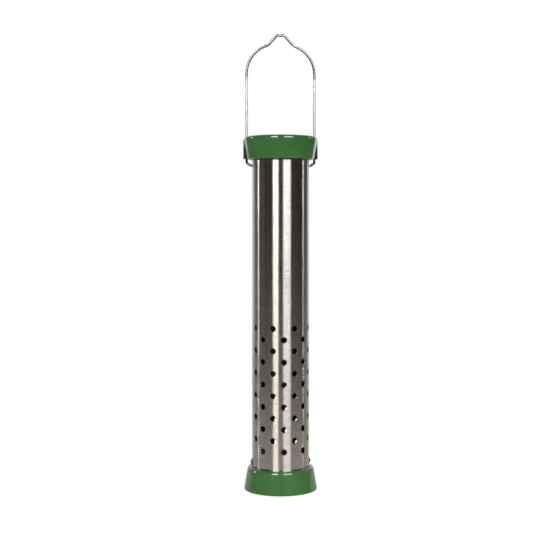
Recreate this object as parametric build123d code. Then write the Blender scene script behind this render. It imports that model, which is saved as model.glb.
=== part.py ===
from build123d import *
from math import cos, radians, sin
import os

# Hanging bird feeder: a perforated steel tube under a sliding cast cap, on a wire
# bail, with a cast base that pulls off when the two spring catches are pinched.
# Millimetres. Z is up through the tube, X runs through the bail legs and the
# catches, Y runs from front to back, and z = 0 is the foot of the base.

# ---- overall ----
OVERALL_HEIGHT = 507.0

# ---- seed tube ----
TUBE_DIAMETER = 63.5
TUBE_WALL = 0.8
TUBE_BOTTOM = 8.0
TUBE_TOP = 391.5
PORT_DIAMETER = 6.75
PORT_ROWS = 12
PORTS_PER_ROW = 8
PORT_ROW_PITCH = 12.37
LOWEST_PORT_ROW = 46.8

# ---- bail wire ----
BAIL_WIRE = 2.8
LEG_OFFSET = 37.8
FOOT_HEIGHT = 362.0
FOOT_END = 24.5
FOOT_BEND = 3.0
FOOT_BEND_ANGLE = 62.0
FOOT_SLOPE_LENGTH = 3.1
FOOT_EASE_RADIUS = 2.5
TOE_CHAMFER = 0.4
SHOULDER_START = 463.2
SHOULDER_RADIUS = 32.2
SHOULDER_SLOPE = 23.0
NECK_RADIUS = 11.5
NECK_SLOPE = 48.0
CREST_RADIUS = 3.7
SADDLE_RADIUS = 4.5
SADDLE_SLOPE = 17.0

# ---- castings ----
FLARE = 0.172
CASTING_WALL = 2.2
RUNNING_GAP = 0.1
OVERLAP = 0.4

# ---- cap ----
CAP_BOTTOM = 368.9
CAP_EDGE = 394.0
CAP_CROWN = 0.5
CROWN_FLAT = 6.0
CAP_RIM_RADIUS = 37.25
CAP_SHOULDER = 3.4
CAP_LIP_ROUND = 0.6
ROOF_UNDERSIDE = 392.0
ROOF_STEP = 0.7
ROOF_STEP_WIDTH = 1.2
LOCATING_RING_OUTER = 29.95
LOCATING_RING_WALL = 1.9
LOCATING_RING_BOTTOM = 384.5
SEAT_GAP = 0.09
SEAT_RIB_WIDTH = 3.0
EAR_RADIUS = 3.8
EAR_BOTTOM = 369.2
EAR_TOP = 392.0
EAR_TOP_ROUND = 2.4
EAR_FOOT_ROUND = 0.5
CAP_FIN_COUNT = 6
CAP_FIN_START = 33.8
CAP_FIN_BOTTOM = 374.0
CAP_FIN_THICKNESS = 1.6

# ---- base cup ----
BASE_HEIGHT = 26.0
BASE_FOOT_RADIUS = 41.1
BASE_SHOULDER = 3.6
BASE_LIP_ROUND = 0.8
SOCKET_RADIUS = 32.15
SOCKET_WALL = 2.2
SOCKET_LIP_ROUND = 0.5
DECK_BOTTOM = 4.8
DECK_TOP = 7.8
WEB_BOTTOM = 22.4
GUSSET_COUNT = 8
GUSSET_THICKNESS = 1.8
GUSSET_BOTTOM = 3.0
DRAIN_COUNT = 8
DRAIN_DIAMETER = 5.0
DRAIN_CIRCLE = 22.0

# ---- seed cone that plugs the foot of the tube ----
CONE_COLLAR_RADIUS = 30.4
CONE_WALL = 2.0
CONE_EDGE = 40.0
CONE_APEX = 47.0
CONE_TIP_FLAT = 2.0
CONE_DRAIN_DIAMETER = 4.0
CONE_DRAIN_CIRCLE = 22.0
CONE_EDGE_ROUND = 0.8
POCKET_INNER = 24.3
POCKET_WIDTH = 5.2
POCKET_TOP = 38.6
POCKET_WALL = 1.6
CHANNEL_WIDTH = 5.6
CHANNEL_TOP = 13.0
GROOVE_CLEARANCE = 0.1

# ---- spring catch ----
SPRING_WIRE = 1.6
ARM_RADIUS = 29.9
ARM_PIVOT = 8.8
BRIDGE_END = 28.6
NIB_BOTTOM = 23.8
NIB_APEX = 31.4
NIB_TOP = 36.6
NIB_REACH = 33.45
ARM_END = 38.0
SLOT_BOTTOM = 23.9
SLOT_TOP = 36.9
SLOT_WIDTH = 2.8
NIB_CORNER = 2.5
NIB_TIP_ROUND = 1.0

# ---- screws that clamp the cone to the base cup ----
SCREW_COUNT = 3
SCREW_CIRCLE = 13.0
SCREW_DIAMETER = 4.0
SCREW_LENGTH = 16.0
SCREW_HEAD_DIAMETER = 7.6
SCREW_HEAD_HEIGHT = 2.6
SCREW_HEAD_ROUND = 1.4
SCREW_BOSS_DIAMETER = 8.4
SCREW_CLEARANCE = 4.4
DRIVE_WIDTH = 1.0
DRIVE_LENGTH = 4.4
DRIVE_DEPTH = 1.4

# ---- values that follow from the ones above ----
TUBE_RADIUS = TUBE_DIAMETER / 2
TUBE_BORE = TUBE_RADIUS - TUBE_WALL
WIRE_RADIUS = BAIL_WIRE / 2
WIRE_HOLE = WIRE_RADIUS + RUNNING_GAP
SPRING_RADIUS = SPRING_WIRE / 2
CREST_HEIGHT = OVERALL_HEIGHT - WIRE_RADIUS

os.makedirs("parts", exist_ok=True)


def post(radius, low, high, x=0.0, y=0.0):
    """A round upright between two heights."""
    middle = (low + high) / 2
    return Pos(x, y, middle) * Cylinder(radius, high - low)


def block(x_low, x_high, width, low, high):
    """A box between two x values and two heights, centred on y = 0."""
    place = Pos((x_low + x_high) / 2, 0, (low + high) / 2)
    return place * Box(x_high - x_low, width, high - low)


def turned(points):
    """A solid of revolution about Z from (radius, height) corners."""
    outline = Polyline(*[(r, z) for r, z in points], close=True)
    return revolve(Plane.XZ * make_face(outline), Axis.Z)


def around(count, radius, first_angle=0.0):
    """Even (x, y) stations on a circle."""
    step = 360 / count
    angles = [radians(first_angle + step * k) for k in range(count)]
    return [(radius * cos(a), radius * sin(a)) for a in angles]


def round_edges(body, radius, height, size):
    """Fillets the circular edges of one radius at one height."""
    picked = []
    for edge in body.edges().filter_by(GeomType.CIRCLE):
        near = abs(edge.radius - radius) < 0.02
        level = abs(edge.arc_center.Z - height) < 0.02
        if near and level:
            picked.append(edge)
    return fillet(picked, size)


def save(shape, name):
    """Writes one node, in the shared frame, as its own STEP file."""
    shape.label = name
    export_step(shape, f"parts/{name}.step")


def seed_tube():
    """Steel tube with staggered ports, two pivot holes and two catch slots."""
    tube = post(TUBE_RADIUS, TUBE_BOTTOM, TUBE_TOP)
    tube -= post(TUBE_BORE, TUBE_BOTTOM - 1, TUBE_TOP + 1)
    drills = []
    step = 360 / PORTS_PER_ROW
    drill = Rot(0, 90, 0) * Cylinder(PORT_DIAMETER / 2, TUBE_DIAMETER + 4)
    for row in range(PORT_ROWS):
        height = LOWEST_PORT_ROW + row * PORT_ROW_PITCH
        stagger = step / 2 if row % 2 else 0
        # each drill passes right through, so half a turn of them makes a full row
        for k in range(PORTS_PER_ROW // 2):
            drills.append(Pos(0, 0, height) * Rot(0, 0, stagger + step * k) * drill)
    drills.append(Pos(0, 0, FOOT_HEIGHT) * Rot(0, 90, 0)
                  * Cylinder(WIRE_HOLE, TUBE_DIAMETER + 4))
    drills.append(block(-TUBE_RADIUS - 2, TUBE_RADIUS + 2, SLOT_WIDTH,
                        SLOT_BOTTOM, SLOT_TOP))
    return tube - drills


def bail_side():
    """Centreline of one half of the bail, from the top of the loop to its foot."""
    start = (0, CREST_HEIGHT - SADDLE_RADIUS * (1 - cos(radians(SADDLE_SLOPE)))
             - CREST_RADIUS * (1 - cos(radians(SADDLE_SLOPE))))
    saddle = JernArc(start, (1, 0), SADDLE_RADIUS, SADDLE_SLOPE)
    crest = JernArc(saddle @ 1, saddle % 1, CREST_RADIUS, -SADDLE_SLOPE - NECK_SLOPE)
    # the two straights are as long as it takes to land on the leg
    steep, gentle = radians(NECK_SLOPE), radians(SHOULDER_SLOPE)
    neck_x = NECK_RADIUS * (sin(steep) - sin(gentle))
    neck_z = NECK_RADIUS * (cos(gentle) - cos(steep))
    shoulder_x = SHOULDER_RADIUS * (1 - sin(gentle))
    shoulder_z = SHOULDER_RADIUS * cos(gentle)
    run = LEG_OFFSET - (crest @ 1).X - neck_x - shoulder_x
    drop = (crest @ 1).Y - SHOULDER_START - neck_z - shoulder_z
    cross = sin(steep - gentle)
    upper = (drop * cos(gentle) - run * sin(gentle)) / cross
    lower = (run * sin(steep) - drop * cos(steep)) / cross
    riser = PolarLine(crest @ 1, upper, direction=crest % 1)
    neck = JernArc(riser @ 1, riser % 1, NECK_RADIUS, NECK_SLOPE - SHOULDER_SLOPE)
    slope = PolarLine(neck @ 1, lower, direction=neck % 1)
    shoulder = JernArc(slope @ 1, slope % 1, SHOULDER_RADIUS, SHOULDER_SLOPE - 90)
    bend = radians(FOOT_BEND_ANGLE)
    ease = radians(90 - FOOT_BEND_ANGLE)
    fall = (FOOT_BEND * sin(bend) + FOOT_SLOPE_LENGTH * cos(bend)
            + FOOT_EASE_RADIUS * (1 - cos(ease)))
    leg = Line(shoulder @ 1, (LEG_OFFSET, FOOT_HEIGHT + fall))
    heel = JernArc(leg @ 1, leg % 1, FOOT_BEND, -FOOT_BEND_ANGLE)
    instep = PolarLine(heel @ 1, FOOT_SLOPE_LENGTH, direction=heel % 1)
    easing = JernArc(instep @ 1, instep % 1, FOOT_EASE_RADIUS, FOOT_BEND_ANGLE - 90)
    toe = Line(easing @ 1, (FOOT_END, FOOT_HEIGHT))
    pieces = [saddle, crest, riser, neck, slope, shoulder, leg, heel, instep]
    return pieces + [easing, toe]


def bail():
    """One length of round wire: loop, shoulders, legs and the two inturned feet."""
    half = Wire([Plane.XZ * edge for edge in bail_side()])
    start = half @ 0
    section = Plane(start, z_dir=half % 0) * Circle(WIRE_RADIUS)
    right = sweep(section, half)
    toes = []
    for edge in right.edges().filter_by(GeomType.CIRCLE):
        if abs(edge.arc_center.X - FOOT_END) < 0.01:
            toes.append(edge)
    right = chamfer(toes, TOE_CHAMFER)
    return right + mirror(right, Plane.YZ)


def cap():
    """Cast rain cap: crowned roof, flared skirt, locating ring and two bail ears."""
    skirt = CAP_EDGE - CAP_BOTTOM
    top_radius = CAP_RIM_RADIUS + FLARE * skirt
    inner_rim = CAP_RIM_RADIUS - CASTING_WALL
    inner_top = inner_rim + FLARE * (ROOF_UNDERSIDE - CAP_BOTTOM)
    roof = ROOF_UNDERSIDE + ROOF_STEP
    crown = CAP_EDGE + CAP_CROWN
    shell = turned([(0, crown), (CROWN_FLAT, crown),
                    (top_radius - CAP_SHOULDER, CAP_EDGE + 0.05),
                    (top_radius, CAP_EDGE), (CAP_RIM_RADIUS, CAP_BOTTOM),
                    (inner_rim, CAP_BOTTOM), (inner_top, ROOF_UNDERSIDE),
                    (inner_top - ROOF_STEP_WIDTH, roof), (0, roof)])
    shell = round_edges(shell, top_radius, CAP_EDGE, CAP_SHOULDER)
    shell = round_edges(shell, CAP_RIM_RADIUS, CAP_BOTTOM, CAP_LIP_ROUND)
    ears = []
    for side in (-1, 1):
        ear = post(EAR_RADIUS, EAR_BOTTOM, EAR_TOP, side * LEG_OFFSET)
        ear = round_edges(ear, EAR_RADIUS, EAR_TOP, EAR_TOP_ROUND)
        ears.append(round_edges(ear, EAR_RADIUS, EAR_BOTTOM, EAR_FOOT_ROUND))
    ring = post(LOCATING_RING_OUTER, LOCATING_RING_BOTTOM, roof + 0.2)
    ring -= post(LOCATING_RING_OUTER - LOCATING_RING_WALL, LOCATING_RING_BOTTOM - 1, roof)
    body = shell + ears + ring
    # two ribs on the line of the ears sit on the rim of the tube
    seat = TUBE_TOP + SEAT_GAP
    for side in (-1, 1):
        near = side * (LOCATING_RING_OUTER - 1)
        far = side * (LEG_OFFSET - 1)
        rib = block(min(near, far), max(near, far), SEAT_RIB_WIDTH, seat, roof + 0.2)
        body += rib
    # short fins inside the skirt stiffen it and centre the cap as it comes down
    for k in range(CAP_FIN_COUNT):
        reach = inner_top + OVERLAP
        fin = block(CAP_FIN_START, reach, CAP_FIN_THICKNESS, CAP_FIN_BOTTOM, roof + 0.2)
        angle = 360 / CAP_FIN_COUNT * (k + 0.5)
        body += (Rot(0, 0, angle) * fin) & post(top_radius, CAP_BOTTOM, CAP_EDGE) & shell_fill()
    for side in (-1, 1):
        body -= post(WIRE_HOLE, CAP_BOTTOM - 5, CAP_EDGE + 5, side * LEG_OFFSET)
    return body


def shell_fill():
    """The flared space that the skirt of the cap encloses, up to mid-wall."""
    half_wall = CASTING_WALL / 2
    low = CAP_RIM_RADIUS - half_wall
    high = low + FLARE * (CAP_EDGE - CAP_BOTTOM)
    return turned([(0, CAP_BOTTOM), (low, CAP_BOTTOM), (high, CAP_EDGE), (0, CAP_EDGE)])


def base_cup():
    """Cast base: flared skirt, socket for the tube, deck with drain holes."""
    top_radius = BASE_FOOT_RADIUS - FLARE * BASE_HEIGHT
    inner_foot = BASE_FOOT_RADIUS - CASTING_WALL
    inner_web = inner_foot - FLARE * WEB_BOTTOM
    wall = SOCKET_RADIUS + SOCKET_WALL
    cup = turned([(0, DECK_TOP), (SOCKET_RADIUS, DECK_TOP), (SOCKET_RADIUS, BASE_HEIGHT),
                  (top_radius, BASE_HEIGHT), (BASE_FOOT_RADIUS, 0), (inner_foot, 0),
                  (inner_web, WEB_BOTTOM), (wall, WEB_BOTTOM), (wall, DECK_BOTTOM),
                  (0, DECK_BOTTOM)])
    cup = round_edges(cup, top_radius, BASE_HEIGHT, BASE_SHOULDER)
    cup = round_edges(cup, SOCKET_RADIUS, BASE_HEIGHT, SOCKET_LIP_ROUND)
    cup = round_edges(cup, BASE_FOOT_RADIUS, 0, BASE_LIP_ROUND)
    # the gussets are cut to the hollow of the skirt, and run a little into its wall
    inner_low = inner_foot - FLARE * GUSSET_BOTTOM
    web = WEB_BOTTOM + OVERLAP
    fill = turned([(0, GUSSET_BOTTOM), (inner_low + OVERLAP, GUSSET_BOTTOM),
                   (inner_web + OVERLAP, web), (0, web)])
    for k in range(GUSSET_COUNT):
        fin = block(wall - OVERLAP, inner_foot + 1, GUSSET_THICKNESS, GUSSET_BOTTOM, web)
        cup += (Rot(0, 0, 360 / GUSSET_COUNT * (k + 0.5)) * fin) & fill
    for x, y in around(DRAIN_COUNT, DRAIN_CIRCLE, 22.5):
        cup -= post(DRAIN_DIAMETER / 2, 0, BASE_HEIGHT, x, y)
    for x, y in around(SCREW_COUNT, SCREW_CIRCLE, 90):
        cup -= post(SCREW_CLEARANCE / 2, 0, BASE_HEIGHT, x, y)
    return cup


def seed_cone():
    """Moulded plug inside the foot of the tube: its cone sheds seed to the ports."""
    inner = CONE_COLLAR_RADIUS - CONE_WALL
    under = CONE_APEX - CONE_WALL
    plug = turned([(0, CONE_APEX), (CONE_TIP_FLAT, CONE_APEX),
                   (CONE_COLLAR_RADIUS, CONE_EDGE), (CONE_COLLAR_RADIUS, DECK_TOP),
                   (inner, DECK_TOP), (inner, CONE_EDGE - CONE_WALL),
                   (CONE_TIP_FLAT, under), (0, under)])
    plug = round_edges(plug, CONE_COLLAR_RADIUS, CONE_EDGE, CONE_EDGE_ROUND)
    fill = turned([(0, DECK_TOP), (CONE_COLLAR_RADIUS - 0.5, DECK_TOP),
                   (CONE_COLLAR_RADIUS - 0.5, CONE_EDGE - 1), (0, CONE_APEX - 1)])
    for x, y in around(SCREW_COUNT, SCREW_CIRCLE, 90):
        plug += post(SCREW_BOSS_DIAMETER / 2, DECK_TOP, CONE_APEX, x, y) & fill
    for side in (-1, 1):
        near, far = side * (POCKET_INNER - POCKET_WALL), side * CONE_COLLAR_RADIUS
        housing = block(min(near, far), max(near, far), POCKET_WIDTH + 2 * POCKET_WALL,
                        DECK_TOP, CONE_APEX)
        plug += housing & fill
    channel_end = POCKET_INNER - 0.5
    plug += block(-channel_end, channel_end, CHANNEL_WIDTH, DECK_TOP, CHANNEL_TOP)
    # a pocket behind each slot lets the arm move in, and a channel traps the bridge
    for side in (-1, 1):
        near, far = side * POCKET_INNER, side * (TUBE_RADIUS + 1)
        plug -= block(min(near, far), max(near, far), POCKET_WIDTH,
                      DECK_TOP - 1, POCKET_TOP)
    groove = SPRING_WIRE + 2 * GROOVE_CLEARANCE
    groove_top = ARM_PIVOT + SPRING_RADIUS + GROOVE_CLEARANCE
    plug -= block(-POCKET_INNER - 1, POCKET_INNER + 1, groove, DECK_TOP - 1, groove_top)
    for x, y in around(SCREW_COUNT, SCREW_CIRCLE, 90):
        plug -= post(SCREW_DIAMETER / 2, DECK_TOP - 1,
                     DECK_BOTTOM + SCREW_LENGTH, x, y)
    for x, y in around(DRAIN_COUNT, CONE_DRAIN_CIRCLE, 22.5):
        plug -= post(CONE_DRAIN_DIAMETER / 2, CHANNEL_TOP + 5, CONE_APEX + 2, x, y)
    return plug


def spring_bridge():
    """The straight of the spring wire, lying in its channel across the base."""
    return Pos(0, 0, ARM_PIVOT) * Rot(0, 90, 0) * Cylinder(SPRING_RADIUS, 2 * BRIDGE_END)


def spring_arm():
    """Right-hand spring arm: it rises from the bridge and bulges out as a nib."""
    spine = Polyline((ARM_RADIUS, ARM_PIVOT), (ARM_RADIUS, NIB_BOTTOM),
                     (NIB_REACH, NIB_APEX), (ARM_RADIUS, NIB_TOP), (ARM_RADIUS, ARM_END))
    corners = spine.vertices().sort_by(Axis.Y)[1:-1]
    spine = fillet([corners[0], corners[2]], NIB_CORNER)
    spine = fillet(spine.vertices().sort_by(Axis.X)[-1:], NIB_TIP_ROUND)
    path = Wire([Plane.XZ * edge for edge in spine.edges()])
    section = Plane((ARM_RADIUS, 0, ARM_PIVOT), z_dir=(0, 0, 1)) * Circle(SPRING_RADIUS)
    arm = sweep(section, path)
    # the bend at the foot is where the arm flexes
    knuckle = Pos(ARM_RADIUS, 0, ARM_PIVOT) * Rot(90, 0, 0)
    knuckle = knuckle * Cylinder(SPRING_RADIUS, 1.5 * SPRING_RADIUS)
    return arm + knuckle


def base_screws():
    """Three pan-head screws, driven from below through the deck into the cone."""
    screws = []
    for x, y in around(SCREW_COUNT, SCREW_CIRCLE, 90):
        head_bottom = DECK_BOTTOM - SCREW_HEAD_HEIGHT
        head = post(SCREW_HEAD_DIAMETER / 2, head_bottom, DECK_BOTTOM)
        head = round_edges(head, SCREW_HEAD_DIAMETER / 2, head_bottom, SCREW_HEAD_ROUND)
        screw = head + post(SCREW_DIAMETER / 2, DECK_BOTTOM - 0.5,
                            DECK_BOTTOM + SCREW_LENGTH - 0.6)
        bar = Box(DRIVE_LENGTH, DRIVE_WIDTH, 2 * DRIVE_DEPTH)
        cross = Pos(0, 0, head_bottom) * (bar + Rot(0, 0, 90) * bar)
        screws.append(Pos(x, y, 0) * (screw - cross))
    return Compound(children=screws)


save(seed_tube(), "seed_tube")
save(bail(), "bail")
save(cap(), "cap")
save(base_cup(), "base_cup")
save(seed_cone(), "seed_cone")
save(spring_bridge(), "spring_bridge")
right_arm = spring_arm()
save(right_arm, "catch_arm_right")
save(mirror(right_arm, Plane.YZ), "catch_arm_left")
save(base_screws(), "base_screws")
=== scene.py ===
from math import asin, atan2, cos, degrees, pi, radians, sin, sqrt

import bpy
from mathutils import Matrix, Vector


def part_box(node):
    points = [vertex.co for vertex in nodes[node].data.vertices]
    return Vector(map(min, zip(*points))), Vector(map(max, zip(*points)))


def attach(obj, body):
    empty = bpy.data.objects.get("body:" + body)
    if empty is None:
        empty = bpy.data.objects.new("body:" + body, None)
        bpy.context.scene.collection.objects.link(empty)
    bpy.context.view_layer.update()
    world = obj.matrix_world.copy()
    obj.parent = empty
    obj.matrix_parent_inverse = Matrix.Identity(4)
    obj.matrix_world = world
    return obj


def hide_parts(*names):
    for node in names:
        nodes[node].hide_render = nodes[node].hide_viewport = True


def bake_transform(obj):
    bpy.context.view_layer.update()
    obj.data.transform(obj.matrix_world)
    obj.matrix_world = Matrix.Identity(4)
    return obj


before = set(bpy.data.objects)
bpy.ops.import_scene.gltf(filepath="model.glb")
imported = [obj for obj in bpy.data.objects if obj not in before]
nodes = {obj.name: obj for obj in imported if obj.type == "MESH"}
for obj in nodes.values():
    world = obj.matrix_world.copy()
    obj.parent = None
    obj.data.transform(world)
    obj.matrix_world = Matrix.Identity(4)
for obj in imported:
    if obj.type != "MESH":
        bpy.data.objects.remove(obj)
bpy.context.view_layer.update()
scene = bpy.context.scene
scene.view_settings.view_transform = "Standard"

# Metres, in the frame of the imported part: Z up the tube, X through the legs of the
# bail and the two catches, -Y towards the front.
MM = 0.001

# ---- seed tube ----
TUBE_WALL = 0.8 * MM
PORT_RADIUS = 3.375 * MM
PORT_ROWS = 12
PORT_COLUMNS = 16
PORT_ROW_PITCH = 12.37 * MM
LOWEST_PORT_ROW = 46.8 * MM
PIVOT_RADIUS = 1.5 * MM
PIVOT_HEIGHT = 362.0 * MM
SLOT_LOW = 23.9 * MM
SLOT_HIGH = 36.9 * MM
SLOT_WIDTH = 2.8 * MM
OUTER_ROUND = 0.10 * MM
INNER_ROUND = 0.08 * MM

# ---- bail wire ----
BAIL_RADIUS = 1.4 * MM
TOE_CHAMFER = 0.4 * MM
FOOT_END = 24.5 * MM
FOOT_BEND = 3.0 * MM
FOOT_BEND_ANGLE = 62.0
FOOT_SLOPE_LENGTH = 3.1 * MM
FOOT_EASE_RADIUS = 2.5 * MM
SHOULDER_START = 463.2 * MM
SHOULDER_RADIUS = 32.2 * MM
SHOULDER_SLOPE = 23.0
NECK_RADIUS = 11.5 * MM
NECK_SLOPE = 48.0
CREST_RADIUS = 3.7 * MM
SADDLE_RADIUS = 4.5 * MM
SADDLE_SLOPE = 17.0

# ---- catch spring ----
SPRING_RADIUS = 0.8 * MM
SPRING_CHAMFER = 0.15 * MM
SPRING_PARTING = 0.01 * MM
SPRING_BEND = 1.7 * MM
ARM_OFFSET = 29.9 * MM
ARM_PIVOT = 8.8 * MM
NIB_BOTTOM = 23.8 * MM
NIB_APEX = 31.4 * MM
NIB_TOP = 36.6 * MM
NIB_REACH = 33.45 * MM
NIB_CORNER = 2.5 * MM
NIB_TIP_ROUND = 1.0 * MM

# ---- cap ----
CAP_BOTTOM = 368.9 * MM
CAP_RIM_RADIUS = 37.25 * MM
CAP_FLARE = 0.172
# top of the painted shade on the lugs of the cap
LUG_SHADE_TOP = 385.0 * MM

# ---- colours, linear ----
POLISH_DARK = (0.475, 0.455, 0.435)
POLISH_LIGHT = (0.655, 0.630, 0.605)
# painted shade inside the tube
BORE_PAINTED_SHADE = (0.05, 0.048, 0.046)
BAIL_CORE = (0.42, 0.41, 0.40)
# painted shade at the outline of the bail wire
BAIL_OUTLINE_SHADE = (0.035, 0.034, 0.033)
# painted highlight on the bail legs above the cap, with painted shade at its outline
LIT_LEG_HIGHLIGHT = (0.98, 0.98, 0.97)
LIT_LEG_OUTLINE_SHADE = (0.07, 0.07, 0.068)
SPRING_CORE = (0.045, 0.044, 0.042)
# painted shade at the outline of the spring wire
SPRING_OUTLINE_SHADE = (0.012, 0.012, 0.011)
CAP_DEEP = (0.041, 0.141, 0.037)
CAP_FRESH = (0.051, 0.162, 0.044)
# the base's green is lighter than the cap's: painted light, for the base being lit more than
# the cap
BASE_DEEP = (0.058, 0.180, 0.050)
BASE_FRESH = (0.068, 0.204, 0.058)
# painted shade on the lower lugs of the cap
LUG_PAINTED_SHADE = (0.018, 0.040, 0.016)
THIN_GREEN = (0.11, 0.24, 0.10)
# colour of the painted reflection emitted on the edge of the cap's skirt
PAINTED_REFLECTION_GREEN = (0.84, 1.0, 0.80)
PLASTIC_DEEP = (0.010, 0.030, 0.011)
PLASTIC_FRESH = (0.015, 0.042, 0.016)
SCREW_DULL = (0.34, 0.33, 0.32)
SCREW_WORN = (0.68, 0.67, 0.65)
FLOOR_MIRRORED = (0.86, 0.79, 0.72)
FLOOR_LIGHT = (0.8, 0.8, 0.8)
WHITE = (1, 1, 1)

# ---- finishes, painted highlights, painted shade and painted reflection ----
# the stretch of the bail legs that gets the painted highlight, and how much less metallic it
# is
LIT_LEG_FROM = 370.0 * MM
LIT_LEG_TO = 465.0 * MM
LIT_LEG_FADE = 12 * MM
LIT_LEG_MATT = 0.68
# strength of the painted reflection on the edge of the cap's skirt
SKIRT_PAINTED_REFLECTION = 0.30
COAT_EDGE = 0.7 * MM
SCREW_EDGE = 0.3 * MM
LUG_FADE = 4.0 * MM
BRUSH_TILT = 0.05
SCRATCH_TILT = 0.55

# ---- studio: azimuths are in degrees from the camera's, positive to its right ----
CAMERA_DISTANCE = 1.30
CAMERA_AZIMUTH = -6.9
CAMERA_HEIGHT = 0.301
CAMERA_PITCH = -2.91
CAMERA_LENS = 74.9
CAMERA_SHIFT = -0.001
SENSOR_WIDTH = 36
FLOOR_RADIUS = 2.0
FRONT_FLOOR = 1.02
FLOOR_HEIGHT = -0.055
FLOOR_SIDES = 64
FLOOR_RINGS = 4


# =============================== meshes ===============================

class Skin:
    """The points, normals, map coordinates and faces of one mesh as it is built."""

    def __init__(self):
        self.points = []
        self.normals = []
        self.maps = []
        self.faces = []

    def point(self, place, normal, at=(0.0, 0.0)):
        self.points.append(Vector(place))
        self.normals.append(Vector(normal).normalized())
        self.maps.append(at)
        return len(self.points) - 1

    def bridge(self, ring, following):
        """Quads between two closed rings of as many points."""
        count = len(ring)
        for k in range(count):
            after = (k + 1) % count
            self.faces.append((ring[k], ring[after], following[after], following[k]))

    def finish(self, name, material):
        """The mesh as an object, with smooth shading from the exact normals."""
        mesh = bpy.data.meshes.new(name)
        mesh.from_pydata(self.points, [], self.faces)
        layer = mesh.uv_layers.new(name="along_and_around")
        for loop in mesh.loops:
            layer.data[loop.index].uv = self.maps[loop.vertex_index]
        mesh.polygons.foreach_set("use_smooth", [True] * len(mesh.polygons))
        mesh.normals_split_custom_set_from_vertices(self.normals)
        mesh.materials.append(material)
        piece = bpy.data.objects.new(name, mesh)
        scene.collection.objects.link(piece)
        return piece


# ---- the tube, as a grid of patches with a port, slot or pivot hole in some ----

PATCH_STEPS = 6
ROUND_STEPS = 3
AROUND = PORT_COLUMNS * PATCH_STEPS
ROW_STEP = PORT_ROW_PITCH / PATCH_STEPS
PIVOT_PATCH = 3 * ROW_STEP
PLAIN_STEP = 10.0 * MM
HALO = 0.9 * MM


def spread_levels(low, high, step):
    """Even heights from low up to, but not including, high."""
    count = max(1, round((high - low) / step))
    return [low + (high - low) * k / count for k in range(count)]


class Hole:
    """A hole through the tube wall, in a patch between two levels of the grid."""

    def __init__(self, centre, half_height, half_width, low, high, is_round):
        self.centre = centre
        self.half_height = half_height
        self.half_width = half_width
        self.low = low
        self.high = high
        self.is_round = is_round

    def outline(self, spread, upright):
        """(sideways, upwards, inward direction) points round the hole, from its lower
        right, one for each point on the edge of the patch."""
        total = 2 * (upright + PATCH_STEPS)
        points = []
        for k in range(total):
            if self.is_round:
                angle = 2 * pi * (k - upright / 2) / total
                reach = self.half_width + spread
                points.append((reach * cos(angle), reach * sin(angle),
                               (-cos(angle), -sin(angle))))
            else:
                wide = self.half_width + spread
                tall = self.half_height + spread
                across, up, inward = slot_station(k, upright)
                points.append((wide * across, tall * up, inward))
        return points


def slot_station(k, upright):
    """(across, up, inward) of the k-th point round a slot, in half widths and heights."""
    if k < upright:
        return 1, 2 * k / upright - 1, (-1, 0) if k else (-1, 1)
    k -= upright
    if k < PATCH_STEPS:
        return 1 - 2 * k / PATCH_STEPS, 1, (0, -1) if k else (-1, -1)
    k -= PATCH_STEPS
    if k < upright:
        return -1, 1 - 2 * k / upright, (1, 0) if k else (1, -1)
    k -= upright
    return 2 * k / PATCH_STEPS - 1, -1, (0, 1) if k else (1, 1)


def tube_holes():
    """The holes of each of the columns round the tube."""
    columns = [[] for _ in range(PORT_COLUMNS)]
    for column in range(PORT_COLUMNS):
        over_catch = column % (PORT_COLUMNS // 2) == 0
        for row in range(column % 2, PORT_ROWS, 2):
            centre = LOWEST_PORT_ROW + row * PORT_ROW_PITCH
            low = centre - PORT_ROW_PITCH
            if over_catch and row == 0:
                low = centre - PORT_ROW_PITCH / 2
            columns[column].append(Hole(centre, PORT_RADIUS, PORT_RADIUS,
                                        low, centre + PORT_ROW_PITCH, True))
        if over_catch:
            slot_low = LOWEST_PORT_ROW - 2 * PORT_ROW_PITCH
            slot_high = LOWEST_PORT_ROW - PORT_ROW_PITCH / 2
            columns[column].append(Hole((SLOT_LOW + SLOT_HIGH) / 2, (SLOT_HIGH - SLOT_LOW) / 2,
                                        SLOT_WIDTH / 2, slot_low, slot_high, False))
            columns[column].append(Hole(PIVOT_HEIGHT, PIVOT_RADIUS, PIVOT_RADIUS,
                                        PIVOT_HEIGHT - PIVOT_PATCH,
                                        PIVOT_HEIGHT + PIVOT_PATCH, True))
    return columns


def tube_levels(bottom, top):
    """The heights of the rings of the grid."""
    ports_low = LOWEST_PORT_ROW - 2 * PORT_ROW_PITCH
    ports_high = LOWEST_PORT_ROW + PORT_ROWS * PORT_ROW_PITCH
    pivot_low = PIVOT_HEIGHT - PIVOT_PATCH
    pivot_high = PIVOT_HEIGHT + PIVOT_PATCH
    levels = spread_levels(bottom + OUTER_ROUND, ports_low, PLAIN_STEP)
    levels += spread_levels(ports_low, ports_high, ROW_STEP)
    levels += spread_levels(ports_high, pivot_low, PLAIN_STEP)
    levels += spread_levels(pivot_low, pivot_high, ROW_STEP)
    levels += spread_levels(pivot_high, top - OUTER_ROUND, PLAIN_STEP)
    return levels + [top - OUTER_ROUND]


def round_profile(size):
    """(spread, depth, tilt) down the rounded edge of a hole."""
    tilts = [pi / 2 * k / ROUND_STEPS for k in range(ROUND_STEPS + 1)]
    return [(size * (1 - sin(t)), size * (1 - cos(t)), t) for t in tilts]


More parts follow.
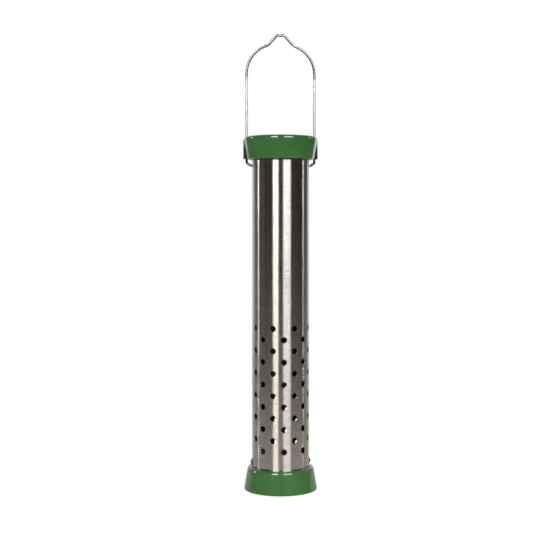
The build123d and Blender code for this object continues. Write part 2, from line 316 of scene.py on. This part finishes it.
def build_tube(material):
    """Seed tube: every port, slot and pivot hole has a rounded edge and a wall."""
    low_corner, high_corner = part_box("seed_tube")
    outside = (high_corner.y - low_corner.y) / 2
    bore = outside - TUBE_WALL
    levels = tube_levels(low_corner.z, high_corner.z)
    skin = Skin()

    def ring_point(radius, angle, height, facing):
        normal = (facing * cos(angle), facing * sin(angle), 0)
        return skin.point((radius * cos(angle), radius * sin(angle), height), normal)

    def half_step(index):
        return 2 * pi * (index - PATCH_STEPS / 2) / AROUND

    def grid(radius, facing):
        rows = []
        for height in levels:
            rows.append([ring_point(radius, half_step(i), height, facing)
                         for i in range(AROUND)])
        return rows

    def level_at(height):
        return min(range(len(levels)), key=lambda j: abs(levels[j] - height))

    walls = {1: grid(outside, 1), -1: grid(bore, -1)}
    columns = tube_holes()
    for column, holes in enumerate(columns):
        first = column * PATCH_STEPS
        spans = [(level_at(hole.low), level_at(hole.high)) for hole in holes]
        for j in range(len(levels) - 1):
            if any(low <= j < high for low, high in spans):
                continue
            for i in range(first, first + PATCH_STEPS):
                after = (i + 1) % AROUND
                for facing, rows in walls.items():
                    quad = (rows[j][i], rows[j][after], rows[j + 1][after], rows[j + 1][i])
                    skin.faces.append(quad if facing > 0 else quad[::-1])
        for hole, (low, high) in zip(holes, spans):
            punch(skin, hole, walls, levels, first, low, high, (outside, bore))
    for facing, end in ((1, -1), (-1, 0)):
        close_end(skin, walls, end, facing, outside, bore, ring_point, half_step,
                  high_corner.z if facing > 0 else low_corner.z)
    tube = skin.finish("perforated_tube", material)
    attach(tube, "tube")
    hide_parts("seed_tube")


def punch(skin, hole, walls, levels, first, low, high, radii):
    """Fills one patch of both walls round a hole, and joins them through it."""
    upright = high - low
    last = first + PATCH_STEPS
    edge = [(last, j) for j in range(low, high)]
    edge += [(i, high) for i in range(last, first, -1)]
    edge += [(first, j) for j in range(high, low, -1)]
    edge += [(i, low) for i in range(first, last)]
    middle = 2 * pi * first / AROUND
    out = Vector((cos(middle), sin(middle), 0))
    side = Vector((-sin(middle), cos(middle), 0))
    up = Vector((0, 0, 1))

    def on_wall(radius, sideways, upwards, normal):
        forward = sqrt(radius ** 2 - sideways ** 2)
        place = out * forward + side * sideways + up * (hole.centre + upwards)
        return skin.point(place, normal)

    def rim(radius, spread, depth, tilt, facing):
        ring = []
        for sideways, upwards, inward in hole.outline(spread, upright):
            into = (side * inward[0] + up * inward[1]).normalized()
            turn = asin(sideways / radius)
            radial = (out * cos(turn) + side * sin(turn)) * facing
            normal = radial * cos(tilt) + into * sin(tilt)
            ring.append(on_wall(radius - facing * depth, sideways, upwards, normal))
        return ring

    def between(radius, facing, share):
        ring = []
        stations = hole.outline(HALO, upright)
        for (i, j), (sideways, upwards, _) in zip(edge, stations):
            near = asin(sideways / radius)
            far = 2 * pi * (i - first - PATCH_STEPS / 2) / AROUND
            angle = middle + near + (far - near) * share
            height = hole.centre + upwards
            height += (levels[j] - height) * share
            normal = (facing * cos(angle), facing * sin(angle), 0)
            ring.append(skin.point((radius * cos(angle), radius * sin(angle), height), normal))
        return ring

    outside, bore = radii
    rings = [[walls[1][j][i % AROUND] for i, j in edge]]
    rings += [between(outside, 1, 0.5), between(outside, 1, 0.0)]
    rings += [rim(outside, *step, 1) for step in round_profile(OUTER_ROUND)]
    rings += [rim(bore, *step, -1) for step in reversed(round_profile(INNER_ROUND))]
    rings += [between(bore, -1, 0.0), between(bore, -1, 0.5)]
    rings.append([walls[-1][j][i % AROUND] for i, j in edge])
    for ring, following in zip(rings, rings[1:]):
        skin.bridge(ring, following)


def close_end(skin, walls, end, facing, outside, bore, ring_point, half_step, face):
    """Rounds over one end of the tube from the outer wall to the bore."""
    rings = [walls[1][end]]
    turns = [pi / 2 * k / ROUND_STEPS for k in range(1, ROUND_STEPS + 1)]
    for radius, sign, order in ((outside, 1, turns), (bore, -1, turns[::-1])):
        for turn in order:
            ring = []
            for i in range(AROUND):
                angle = half_step(i)
                place_radius = radius - sign * OUTER_ROUND * (1 - cos(turn))
                height = face - facing * OUTER_ROUND * (1 - sin(turn))
                ring.append(ring_point(place_radius, angle, height, 1))
                level = Vector((0, 0, facing)) * sin(turn)
                radial = Vector((cos(angle), sin(angle), 0)) * cos(turn) * sign
                skin.normals[ring[-1]] = (level + radial).normalized()
            rings.append(ring)
    rings.append(walls[-1][end])
    for ring, following in zip(rings, rings[1:]):
        if facing > 0:
            skin.bridge(ring, following)
        else:
            skin.bridge(following, ring)


# ---- wires ----

ARC_STEP = 4.0
WIRE_SIDES = 28
LONG_STEP = 8.0 * MM
SHORT_STEP = 3.0 * MM


class Trail:
    """A centreline in the XZ plane, laid down in straights and arcs."""

    def __init__(self, x, z, heading):
        self.x = x
        self.z = z
        self.heading = radians(heading)
        self.stations = [(x, z, self.heading)]

    def straight(self, length, longest=LONG_STEP):
        pieces = max(1, round(length / longest))
        for _ in range(pieces):
            self.x += length / pieces * cos(self.heading)
            self.z += length / pieces * sin(self.heading)
            self.stations.append((self.x, self.z, self.heading))
        return self

    def arc(self, radius, turn):
        """Turns left by a positive angle, right by a negative one."""
        pieces = max(2, round(abs(turn) / ARC_STEP))
        step = radians(turn) / pieces
        chord = 2 * radius * sin(abs(step) / 2)
        for _ in range(pieces):
            self.x += chord * cos(self.heading + step / 2)
            self.z += chord * sin(self.heading + step / 2)
            self.heading += step
            self.stations.append((self.x, self.z, self.heading))
        return self


def mirrored(stations):
    """The same run on the other side, walked from its far end."""
    return [(-x, z, -heading) for x, z, heading in reversed(stations)]


def wire(name, stations, radius, chamfer, material):
    """A round wire along the stations, with chamfered ends."""
    skin = Skin()
    rings = []
    length = 0.0
    last = len(stations) - 1
    for index, (x, z, heading) in enumerate(stations):
        along = Vector((cos(heading), 0, sin(heading)))
        beside = Vector((-sin(heading), 0, cos(heading)))
        here = Vector((x, 0, z))
        if index:
            before = stations[index - 1]
            length += (here - Vector((before[0], 0, before[1]))).length
        steps = [(0.0, radius, 0.0)]
        if index == 0:
            steps = [(0.0, radius - chamfer, -1.0), (chamfer, radius, -0.5)]
        if index == last:
            steps = [(-chamfer, radius, 0.5), (0.0, radius - chamfer, 1.0)]
        for shift, size, lean in steps:
            ring = []
            for k in range(WIRE_SIDES):
                angle = 2 * pi * k / WIRE_SIDES
                spoke = Vector((0, -1, 0)) * cos(angle) + beside * sin(angle)
                at = (length + shift, angle / (2 * pi))
                ring.append(skin.point(here + along * shift + spoke * size,
                                       spoke + along * lean, at))
            rings.append(ring)
    for ring, following in zip(rings, rings[1:]):
        skin.bridge(following, ring)
    ends = ((rings[0], stations[0], -1), (rings[-1], stations[-1], 1))
    for ring, (x, z, heading), sign in ends:
        middle = skin.point((x, 0, z), (sign * cos(heading), 0, sign * sin(heading)))
        for k in range(WIRE_SIDES):
            pair = (ring[k], ring[(k + 1) % WIRE_SIDES])
            skin.faces.append((*(pair if sign < 0 else pair[::-1]), middle))
    return skin.finish(name, material)


def build_bail(material):
    """Bail: loop, shoulders, legs and inturned feet in one length of wire."""
    low_corner, high_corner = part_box("bail")
    leg_offset = high_corner.x - BAIL_RADIUS
    foot_height = low_corner.z + BAIL_RADIUS
    saddle_rise = (SADDLE_RADIUS + CREST_RADIUS) * (1 - cos(radians(SADDLE_SLOPE)))
    trail = Trail(0, high_corner.z - BAIL_RADIUS - saddle_rise, 0)
    trail.arc(SADDLE_RADIUS, SADDLE_SLOPE)
    trail.arc(CREST_RADIUS, -SADDLE_SLOPE - NECK_SLOPE)
    # the two straights of the shoulder are as long as it takes to land on the leg
    steep, gentle = radians(NECK_SLOPE), radians(SHOULDER_SLOPE)
    run = leg_offset - trail.x - NECK_RADIUS * (sin(steep) - sin(gentle))
    run -= SHOULDER_RADIUS * (1 - sin(gentle))
    drop = trail.z - SHOULDER_START - NECK_RADIUS * (cos(gentle) - cos(steep))
    drop -= SHOULDER_RADIUS * cos(gentle)
    cross = sin(steep - gentle)
    trail.straight((drop * cos(gentle) - run * sin(gentle)) / cross)
    trail.arc(NECK_RADIUS, NECK_SLOPE - SHOULDER_SLOPE)
    trail.straight((run * sin(steep) - drop * cos(steep)) / cross)
    trail.arc(SHOULDER_RADIUS, SHOULDER_SLOPE - 90)
    bend, ease = radians(FOOT_BEND_ANGLE), radians(90 - FOOT_BEND_ANGLE)
    fall = FOOT_BEND * sin(bend) + FOOT_SLOPE_LENGTH * cos(bend)
    fall += FOOT_EASE_RADIUS * (1 - cos(ease))
    trail.straight(trail.z - foot_height - fall)
    trail.arc(FOOT_BEND, -FOOT_BEND_ANGLE)
    trail.straight(FOOT_SLOPE_LENGTH)
    trail.arc(FOOT_EASE_RADIUS, FOOT_BEND_ANGLE - 90)
    trail.straight(trail.x - FOOT_END)
    stations = mirrored(trail.stations)[:-1] + trail.stations
    bail = wire("bail_wire", stations, BAIL_RADIUS, TOE_CHAMFER, material)
    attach(bail, "bail")
    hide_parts("bail")


def build_spring(material):
    """Catch spring: each half runs from the middle of the bridge up through its nib."""
    arm_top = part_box("catch_arm_right")[1].z
    rise = atan2(NIB_APEX - NIB_BOTTOM, NIB_REACH - ARM_OFFSET)
    fall = atan2(NIB_TOP - NIB_APEX, NIB_REACH - ARM_OFFSET)
    lower_turn = degrees(pi / 2 - rise)
    upper_turn = degrees(pi / 2 - fall)
    lower_cut = NIB_CORNER * sin(radians(lower_turn / 2)) / cos(radians(lower_turn / 2))
    upper_cut = NIB_CORNER * sin(radians(upper_turn / 2)) / cos(radians(upper_turn / 2))
    tip_half = radians(lower_turn + upper_turn) / 2
    tip_cut = NIB_TIP_ROUND * sin(tip_half) / cos(tip_half)
    up_slope = sqrt((NIB_REACH - ARM_OFFSET) ** 2 + (NIB_APEX - NIB_BOTTOM) ** 2)
    down_slope = sqrt((NIB_REACH - ARM_OFFSET) ** 2 + (NIB_TOP - NIB_APEX) ** 2)
    trail = Trail(SPRING_PARTING, ARM_PIVOT, 0)
    trail.straight(ARM_OFFSET - SPRING_BEND - trail.x)
    trail.arc(SPRING_BEND, 90)
    trail.straight(NIB_BOTTOM - lower_cut - trail.z, SHORT_STEP)
    trail.arc(NIB_CORNER, -lower_turn)
    trail.straight(up_slope - lower_cut - tip_cut, SHORT_STEP)
    trail.arc(NIB_TIP_ROUND, lower_turn + upper_turn)
    trail.straight(down_slope - tip_cut - upper_cut, SHORT_STEP)
    trail.arc(NIB_CORNER, -upper_turn)
    trail.straight(arm_top - trail.z)
    halves = (("right", trail.stations), ("left", mirrored(trail.stations)))
    for side, stations in halves:
        half = wire(f"catch_spring_{side}", stations, SPRING_RADIUS, SPRING_CHAMFER,
                    material)
        if side == "right":
            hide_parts("spring_bridge", "catch_arm_right")
        else:
            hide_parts("spring_bridge", "catch_arm_left")
        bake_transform(half)


# =============================== materials ===============================

class Shader:
    """Adds and joins nodes in one node tree."""

    def __init__(self, owner):
        owner.use_nodes = True
        self.tree = owner.node_tree
        self.tree.nodes.clear()

    def node(self, kind, settings=None, **inputs):
        """A node; its inputs are numbers, tuples or the outputs of other nodes."""
        made = self.tree.nodes.new(kind)
        for name, value in (settings or {}).items():
            setattr(made, name, value)
        for name, value in inputs.items():
            self.feed(made.inputs[name.replace("_", " ")], value)
        return made

    def feed(self, socket, value):
        if isinstance(value, bpy.types.NodeSocket):
            self.tree.links.new(value, socket)
        else:
            socket.default_value = value

    def math(self, operation, first, second=0.0, third=0.0, clamp=False):
        made = self.node("ShaderNodeMath", {"operation": operation, "use_clamp": clamp})
        for socket, value in zip(made.inputs, (first, second, third)):
            self.feed(socket, value)
        return made.outputs[0]

    def ramp(self, value, low, high, to_low=0.0, to_high=1.0, smooth=True):
        """The value carried from one range to another, clamped to it."""
        kind = "SMOOTHSTEP" if smooth else "LINEAR"
        made = self.node("ShaderNodeMapRange", {"interpolation_type": kind})
        for name, amount in (("Value", value), ("From Min", low), ("From Max", high),
                             ("To Min", to_low), ("To Max", to_high)):
            self.feed(made.inputs[name], amount)
        return made.outputs["Result"]

    def mix(self, share, first, second):
        """A colour between two, each a socket or red, green and blue."""
        made = self.node("ShaderNodeMix", {"data_type": "RGBA"})
        colours = [socket for socket in made.inputs if socket.type == "RGBA"]
        self.feed(made.inputs["Factor"], share)
        for socket, colour in zip(colours, (first, second)):
            self.feed(socket, (*colour, 1) if isinstance(colour, tuple) else colour)
        return next(socket for socket in made.outputs if socket.type == "RGBA")

    def scaled(self, vector, amounts):
        made = self.node("ShaderNodeVectorMath", {"operation": "MULTIPLY"})
        self.feed(made.inputs[0], vector)
        self.feed(made.inputs[1], amounts)
        return made.outputs[0]

    def place(self):
        """The point on the piece, in metres."""
        return self.node("ShaderNodeTexCoord").outputs["Object"]

    def split(self, vector):
        """The x, y and z of a vector."""
        parts = self.node("ShaderNodeSeparateXYZ")
        self.feed(parts.inputs[0], vector)
        return parts.outputs

    def reach(self, x, y):
        """The distance of a point from the axis of the feeder."""
        return self.math("SQRT", self.math("MULTIPLY_ADD", x, x, self.math("MULTIPLY", y, y)))

    def towards_camera(self, x, y):
        """How far a point or direction goes towards the camera, level with the floor."""
        turn = radians(CAMERA_AZIMUTH)
        return self.math("MULTIPLY_ADD", x, sin(turn), self.math("MULTIPLY", y, -cos(turn)))

    def noise(self, vector, detail=2.0, roughness=0.5):
        made = self.node("ShaderNodeTexNoise", Scale=1.0, Detail=detail, Roughness=roughness)
        self.feed(made.inputs["Vector"], vector)
        return made.outputs[0]

    def bump(self, height, distance, strength=1.0, normal=None):
        made = self.node("ShaderNodeBump", Height=height, Distance=distance, Strength=strength)
        if normal is not None:
            self.feed(made.inputs["Normal"], normal)
        return made.outputs[0]

    def surface(self, shader):
        target = self.node("ShaderNodeOutputMaterial")
        self.tree.links.new(shader, target.inputs["Surface"])


def new_shader(name):
    material = bpy.data.materials.new(name)
    return material, Shader(material)


def edge_mask(shader, radius):
    """1 on a convex or concave edge, 0 on the open surface."""
    soft = shader.node("ShaderNodeBevel", {"samples": 4}, Radius=radius).outputs[0]
    flat = shader.node("ShaderNodeNewGeometry").outputs["Normal"]
    dot = shader.node("ShaderNodeVectorMath", {"operation": "DOT_PRODUCT"})
    shader.feed(dot.inputs[0], soft)
    shader.feed(dot.inputs[1], flat)
    return shader.ramp(dot.outputs["Value"], 0.98, 0.80)


def brushed_steel(outside):
    """Stainless tube: fine lines round it, so highlights smear up and down it. The
    bore is painted nearly black and made rougher, as painted shade inside the tube."""
    material, shader = new_shader("brushed_steel")
    place = shader.place()
    fine = shader.noise(shader.scaled(place, (70, 70, 5200)), 3, 0.6)
    broad = shader.noise(shader.scaled(place, (24, 24, 900)), 3, 0.6)
    cloud = shader.noise(shader.scaled(place, (26, 26, 18)), 3, 0.55)
    lines = shader.math("MULTIPLY_ADD", fine, 0.55, shader.math("MULTIPLY", broad, 0.45))
    tone = shader.math("MULTIPLY_ADD", cloud, 0.30, shader.math("MULTIPLY", lines, 0.70))
    polish = shader.mix(shader.ramp(tone, 0.36, 0.64, smooth=False),
                        POLISH_DARK, POLISH_LIGHT)
    flat = shader.scaled(place, (1, 1, 0))
    radius = shader.node("ShaderNodeVectorMath", {"operation": "LENGTH"})
    shader.feed(radius.inputs[0], flat)
    # painted shade: the bore gets a nearly black colour and more roughness
    bore = shader.ramp(radius.outputs["Value"], outside - 0.75 * TUBE_WALL,
                       outside - 0.35 * TUBE_WALL, 1.0, 0.0)
    colour = shader.mix(bore, polish, BORE_PAINTED_SHADE)
    rough = shader.ramp(tone, 0.35, 0.65, 0.26, 0.21, smooth=False)
    rough = shader.math("MULTIPLY_ADD", bore, 0.25, rough)
    tilt = shader.node("ShaderNodeCombineXYZ")
    scratch = shader.noise(shader.scaled(place, (240, 240, 16000)), 1, 0.5)
    slope = shader.math("MULTIPLY_ADD", shader.math("SUBTRACT", lines, 0.5), BRUSH_TILT,
                        shader.math("MULTIPLY", shader.math("SUBTRACT", scratch, 0.5),
                                    SCRATCH_TILT))
    shader.feed(tilt.inputs["Z"], slope)
    lean = shader.node("ShaderNodeVectorMath", {"operation": "ADD"})
    shader.feed(lean.inputs[0], shader.node("ShaderNodeNewGeometry").outputs["Normal"])
    shader.feed(lean.inputs[1], tilt.outputs[0])
    unit = shader.node("ShaderNodeVectorMath", {"operation": "NORMALIZE"})
    shader.feed(unit.inputs[0], lean.outputs[0])
    tangent = shader.node("ShaderNodeTangent", {"direction_type": "RADIAL", "axis": "Z"})
    metal = shader.node("ShaderNodeBsdfPrincipled", Base_Color=colour, Metallic=1.0,
                        Roughness=rough, Anisotropic=1.0, Anisotropic_Rotation=0.25,
                        Normal=unit.outputs[0], Tangent=tangent.outputs[0])
    shader.surface(metal.outputs[0])
    return material


def drawn_wire(name, core, rim, lit_leg_core=None, lit_leg_outline=None):
    """Drawn wire with faint die lines along it, with painted shade towards its outline.
    On the legs above the cap it has a painted highlight: near-white and less metallic."""
    material, shader = new_shader(name)
    along = shader.node("ShaderNodeTexCoord").outputs["UV"]
    drawn = shader.noise(shader.scaled(along, (120, 26, 1)), 2, 0.5)
    patchy = shader.noise(shader.scaled(shader.place(), (160, 160, 160)), 3, 0.6)
    facing = shader.node("ShaderNodeLayerWeight", Blend=0.5).outputs["Facing"]
    # painted shade: the colour darkens where the wire turns away from the camera
    outline = shader.ramp(facing, 0.22, 0.62)
    tone = shader.mix(outline, core, rim)
    metallic = 1.0
    # painted highlight on the legs above the cap: near-white and less metallic
    if lit_leg_core:
        height = shader.split(shader.place())["Z"]
        lit_leg_share = shader.math("MULTIPLY",
                             shader.ramp(height, LIT_LEG_FROM, LIT_LEG_FROM + LIT_LEG_FADE),
                             shader.ramp(height, LIT_LEG_TO, LIT_LEG_TO - LIT_LEG_FADE))
        # painted shade at the outline of the lit legs, weaker up the legs
        wear_and_shade = shader.ramp(height, CAP_BOTTOM, LIT_LEG_TO, 1.0, 0.35)
        edge = shader.math("MULTIPLY", shader.ramp(facing, 0.25, 0.52), wear_and_shade)
        bright = shader.mix(edge, lit_leg_core, lit_leg_outline)
        tone = shader.mix(lit_leg_share, tone, bright)
        metallic = shader.math("MULTIPLY_ADD", lit_leg_share, -LIT_LEG_MATT, 1.0)
    shade = shader.ramp(patchy, 0.3, 0.7, 0.86, 1.0, smooth=False)
    tone = shader.scaled(tone, shade)
    rough = shader.ramp(patchy, 0.3, 0.7, 0.13, 0.22, smooth=False)
    normal = shader.bump(drawn, 0.006 * MM)
    metal = shader.node("ShaderNodeBsdfPrincipled", Base_Color=tone, Metallic=metallic,
                        Roughness=rough, Normal=normal)
    shader.surface(metal.outputs[0])
    return material


def green_coat(name, deep, fresh, shaded_lugs=False):
    """Gloss coating on a casting: slight orange peel, thinner and paler on edges. On the
    cap, the lower lugs outside the flare get painted shade, and the very edge of the skirt a
    painted reflection."""
    material, shader = new_shader(name)
    place = shader.place()
    peel = shader.noise(shader.scaled(place, (420, 420, 420)), 1, 0.5)
    wave = shader.noise(shader.scaled(place, (70, 70, 70)), 1, 0.5)
    cloud = shader.noise(shader.scaled(place, (35, 35, 35)), 4, 0.6)
    edge = edge_mask(shader, COAT_EDGE)
    shade = shader.ramp(cloud, 0.35, 0.65, smooth=False)
    body = shader.mix(shade, deep, fresh)
    glow = 0.0
    if shaded_lugs:
        lug_shade = lug_shade_mask(shader, place)
        # painted shade on the lower lugs
        body = shader.mix(lug_shade, body, LUG_PAINTED_SHADE)
        # painted reflection on the edge of the skirt, as emission, kept off the lugs
        glow = shader.math("MULTIPLY", shader.math("SUBTRACT", 1.0, lug_shade), skirt_painted_reflection(shader))
    colour = shader.mix(shader.math("MULTIPLY", edge, 0.35), body, THIN_GREEN)
    rough = shader.ramp(cloud, 0.3, 0.7, 0.30, 0.40, smooth=False)
    coat_rough = shader.ramp(cloud, 0.3, 0.7, 0.015, 0.035, smooth=False)
    height = shader.math("MULTIPLY_ADD", wave, 1.6, peel)
    normal = shader.bump(height, 0.010 * MM)
    paint = shader.node("ShaderNodeBsdfPrincipled", Base_Color=colour, Roughness=rough,
                        Coat_Weight=1.0, Coat_Roughness=coat_rough, Coat_IOR=1.8,
                        Coat_Normal=normal, Normal=normal, Specular_IOR_Level=0.1,
                        Emission_Color=(*PAINTED_REFLECTION_GREEN, 1), Emission_Strength=glow)
    shader.surface(paint.outputs[0])
    return material


def skirt_painted_reflection(shader):
    """Painted reflection: emission standing in for the white surroundings seen in the very
    edge of the skirt of the cap.
    """
    facing = shader.node("ShaderNodeLayerWeight", Blend=0.5).outputs["Facing"]
    lean = shader.split(shader.node("ShaderNodeNewGeometry").outputs["Normal"])["Z"]
    upright = shader.ramp(shader.math("ABSOLUTE", lean), 0.25, 0.45, 1.0, 0.0)
    edge = shader.ramp(facing, 0.60, 0.78, 0.0, SKIRT_PAINTED_REFLECTION)
    return shader.math("MULTIPLY", edge, upright)


def lug_shade_mask(shader, place):
    """1 on the lower part of the bail lugs, outside the flare of the cap, where painted shade
    goes.
    """
    x, y, z = shader.split(place)
    radius = shader.reach(x, y)
    skirt = shader.math("MULTIPLY_ADD", shader.math("SUBTRACT", z, CAP_BOTTOM), CAP_FLARE,
                        CAP_RIM_RADIUS)
    outside = shader.ramp(shader.math("SUBTRACT", radius, skirt), 0.05 * MM, 0.35 * MM)
    low = shader.ramp(z, LUG_SHADE_TOP, LUG_SHADE_TOP - LUG_FADE)
    return shader.math("MULTIPLY", outside, low)


def green_plastic():
    """Moulded plastic: satin, with a fine spark-eroded grain."""
    material, shader = new_shader("green_plastic")
    place = shader.place()
    grain = shader.noise(shader.scaled(place, (2600, 2600, 2600)), 2, 0.6)
    cloud = shader.noise(shader.scaled(place, (60, 60, 60)), 3, 0.5)
    colour = shader.mix(cloud, PLASTIC_DEEP, PLASTIC_FRESH)
    rough = shader.ramp(cloud, 0.3, 0.7, 0.42, 0.55, smooth=False)
    normal = shader.bump(grain, 0.03 * MM)
    plastic = shader.node("ShaderNodeBsdfPrincipled", Base_Color=colour, Roughness=rough,
                          Normal=normal)
    shader.surface(plastic.outputs[0])
    return material


def screw_steel():
    """Rolled and tumbled screws: dull, with brighter edges."""
    material, shader = new_shader("screw_steel")
    place = shader.place()
    scuff = shader.noise(shader.scaled(place, (1500, 1500, 1500)), 3, 0.6)
    edge = edge_mask(shader, SCREW_EDGE)
    wear_and_shade = shader.math("MULTIPLY_ADD", edge, 0.5, shader.math("MULTIPLY", scuff, 0.5))
    colour = shader.mix(wear_and_shade, SCREW_DULL, SCREW_WORN)
    rough = shader.ramp(scuff, 0.3, 0.7, 0.28, 0.42, smooth=False)
    metal = shader.node("ShaderNodeBsdfPrincipled", Base_Color=colour, Metallic=1.0,
                        Roughness=rough, Normal=shader.bump(scuff, 0.01 * MM))
    shader.surface(metal.outputs[0])
    return material


def repaint(node, material):
    """Gives a CAD node its finished material in every slot."""
    slots = nodes[node].data.materials
    if not slots:
        slots.append(material)
    for index in range(len(slots)):
        slots[index] = material


# =============================== studio ===============================

def band(shader, value, low, high, soft):
    """1 between two values with soft edges, 0 elsewhere."""
    rise = shader.ramp(value, low - soft, low + soft)
    fall = shader.ramp(value, high - soft, high + soft, 1.0, 0.0)
    return shader.math("MULTIPLY", rise, fall)


# name, azimuth from and to, elevation from and to, soft edge, brightness
SOFTBOXES = (
    ("front_left", -31.2, -9.6, 8.6, 50, 0.6, (7.9, 7.7, 6.6)),
    ("front_right", 11.4, 41.9, 8.6, 50, 0.6, (5.9, 5.75, 5.65)),
    ("left_fill", -99, -69, -25, 60, 4.0, (0.085, 0.080, 0.077)),
    ("right_gap", 107, 136, -25, 60, 1.5, (0.06, 0.055, 0.052)),
    ("right_strip", 103.4, 108.0, 9, 20, 0.8, (11.0, 10.5, 10.0)),
    ("left_gap", -134, -104, -25, 60, 1.5, (0.10, 0.095, 0.09)),
    ("left_strip", -104.6, -101.0, 9, 20, 0.6, (21.0, 20.7, 20.2)),
    ("backdrop_right", 137, 200, -25, 70, 1.2, (0.74, 0.73, 0.72)),
    ("backdrop_left", -200, -134.5, -25, 70, 1.2, (0.76, 0.75, 0.74)),
    ("left_return", -135, -123, -60, -6, 2.0, (0.90, 0.88, 0.86)),
)
LEVEL_SOFTNESS = 0.6
DARK_STUDIO = (0.022, 0.019, 0.017)
LOBE_LIGHT = 3.6
LOBE_POWER = 6.0
SIDE_LIGHT = 0.12
SKY_LIGHT = 0.24


def matt_light(shader, x, y, z):
    """What matt surfaces are lit by: two soft lobes, before and behind the feeder."""
    facing = shader.math("ABSOLUTE", shader.towards_camera(x, y))
    lobe = shader.math("POWER", facing, LOBE_POWER)
    level = shader.math("MULTIPLY_ADD", lobe, LOBE_LIGHT, SIDE_LIGHT)
    level = shader.math("MULTIPLY", level, shader.math("MULTIPLY_ADD", z, SKY_LIGHT, 1.0))
    grey = shader.node("ShaderNodeCombineXYZ", X=level, Y=level, Z=level)
    return grey.outputs[0]


def build_world():
    """White to the camera, softboxes to reflections, and even light to matt surfaces."""
    world = bpy.data.worlds.new("studio")
    scene.world = world
    world.cycles.sampling_method = "NONE"
    shader = Shader(world)
    x, y, z = shader.split(shader.node("ShaderNodeTexCoord").outputs["Generated"])
    turn = shader.math("ARCTAN2", x, shader.math("MULTIPLY", y, -1.0))
    azimuth = shader.math("SUBTRACT", shader.math("DEGREES", turn), CAMERA_AZIMUTH)
    azimuth = shader.math("WRAP", azimuth, 180.0, -180.0)
    elevation = shader.math("DEGREES", shader.math("ARCSINE", z))
    total = DARK_STUDIO
    for _, az_low, az_high, el_low, el_high, soft, colour in SOFTBOXES:
        across = band(shader, azimuth, az_low, az_high, soft)
        upright = band(shader, elevation, el_low, el_high, LEVEL_SOFTNESS)
        share = shader.math("MULTIPLY", across, upright)
        total = shader.mix(share, total, colour)
    even = matt_light(shader, x, y, z)
    path = shader.node("ShaderNodeLightPath")
    lit = shader.mix(path.outputs["Is Diffuse Ray"], total, even)
    seen = shader.mix(path.outputs["Is Camera Ray"], lit, WHITE)
    light = shader.node("ShaderNodeBackground", Color=seen, Strength=1.0)
    target = shader.node("ShaderNodeOutputWorld")
    shader.tree.links.new(light.outputs[0], target.inputs["Surface"])


def build_floor():
    """A pale disc under the feeder, see-through from below."""
    skin = Skin()
    rings = []
    for ring in range(1, FLOOR_RINGS + 1):
        radius = FLOOR_RADIUS * ring / FLOOR_RINGS
        angles = [2 * pi * k / FLOOR_SIDES for k in range(FLOOR_SIDES)]
        rings.append([skin.point((radius * cos(a), radius * sin(a), FLOOR_HEIGHT), (0, 0, 1))
                      for a in angles])
    skin.faces.append(tuple(rings[0]))
    for ring, following in zip(rings, rings[1:]):
        skin.bridge(following, ring)
    material, shader = new_shader("studio_floor")
    x, y, _ = shader.split(shader.place())
    radius = shader.reach(x, y)
    forward = shader.math("DIVIDE", shader.towards_camera(x, y), radius)
    behind = shader.ramp(forward, -0.15, -0.45)
    near_fade = shader.ramp(radius, 0.10, FRONT_FLOOR, 1.0, 0.0)
    far_fade = shader.ramp(radius, 0.80 * FLOOR_RADIUS, FLOOR_RADIUS, 0.52, 0.0)
    more = shader.math("MULTIPLY", shader.math("SUBTRACT", far_fade, near_fade), behind)
    # painted shadow: the floor's reflected light is dark within 0.06 m of the feeder's axis
    # and comes back by 0.20 m
    fade = shader.math("MULTIPLY", shader.math("ADD", near_fade, more),
                       shader.ramp(radius, 0.06, 0.20))
    mirrored_floor = shader.mix(fade, DARK_STUDIO, FLOOR_MIRRORED)
    path = shader.node("ShaderNodeLightPath")
    lit = shader.mix(path.outputs["Is Diffuse Ray"], mirrored_floor, FLOOR_LIGHT)
    seen = shader.mix(path.outputs["Is Camera Ray"], lit, WHITE)
    glow = shader.node("ShaderNodeEmission", Color=seen, Strength=1.0)
    clear = shader.node("ShaderNodeBsdfTransparent")
    underside = shader.node("ShaderNodeNewGeometry").outputs["Backfacing"]
    choice = shader.node("ShaderNodeMixShader")
    shader.feed(choice.inputs[0], underside)
    shader.feed(choice.inputs[1], glow.outputs[0])
    shader.feed(choice.inputs[2], clear.outputs[0])
    shader.surface(choice.outputs[0])
    material.cycles.emission_sampling = "NONE"
    floor = skin.finish("studio_floor", material)


def build_camera():
    data = bpy.data.cameras.new("camera")
    data.sensor_width = SENSOR_WIDTH
    data.lens = CAMERA_LENS
    data.shift_x = CAMERA_SHIFT
    camera = bpy.data.objects.new("camera", data)
    scene.collection.objects.link(camera)
    azimuth = radians(CAMERA_AZIMUTH)
    camera.location = (CAMERA_DISTANCE * sin(azimuth), -CAMERA_DISTANCE * cos(azimuth),
                       CAMERA_HEIGHT)
    camera.rotation_euler = (radians(90 + CAMERA_PITCH), 0, azimuth)
    scene.camera = camera


build_world()
build_floor()
build_camera()
build_tube(brushed_steel(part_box("seed_tube")[1].y))
build_bail(drawn_wire("bail_steel", BAIL_CORE, BAIL_OUTLINE_SHADE, LIT_LEG_HIGHLIGHT, LIT_LEG_OUTLINE_SHADE))
build_spring(drawn_wire("spring_steel", SPRING_CORE, SPRING_OUTLINE_SHADE))
repaint("cap", green_coat("cap_coat", CAP_DEEP, CAP_FRESH, shaded_lugs=True))
repaint("base_cup", green_coat("base_coat", BASE_DEEP, BASE_FRESH))
repaint("seed_cone", green_plastic())
repaint("base_screws", screw_steel())
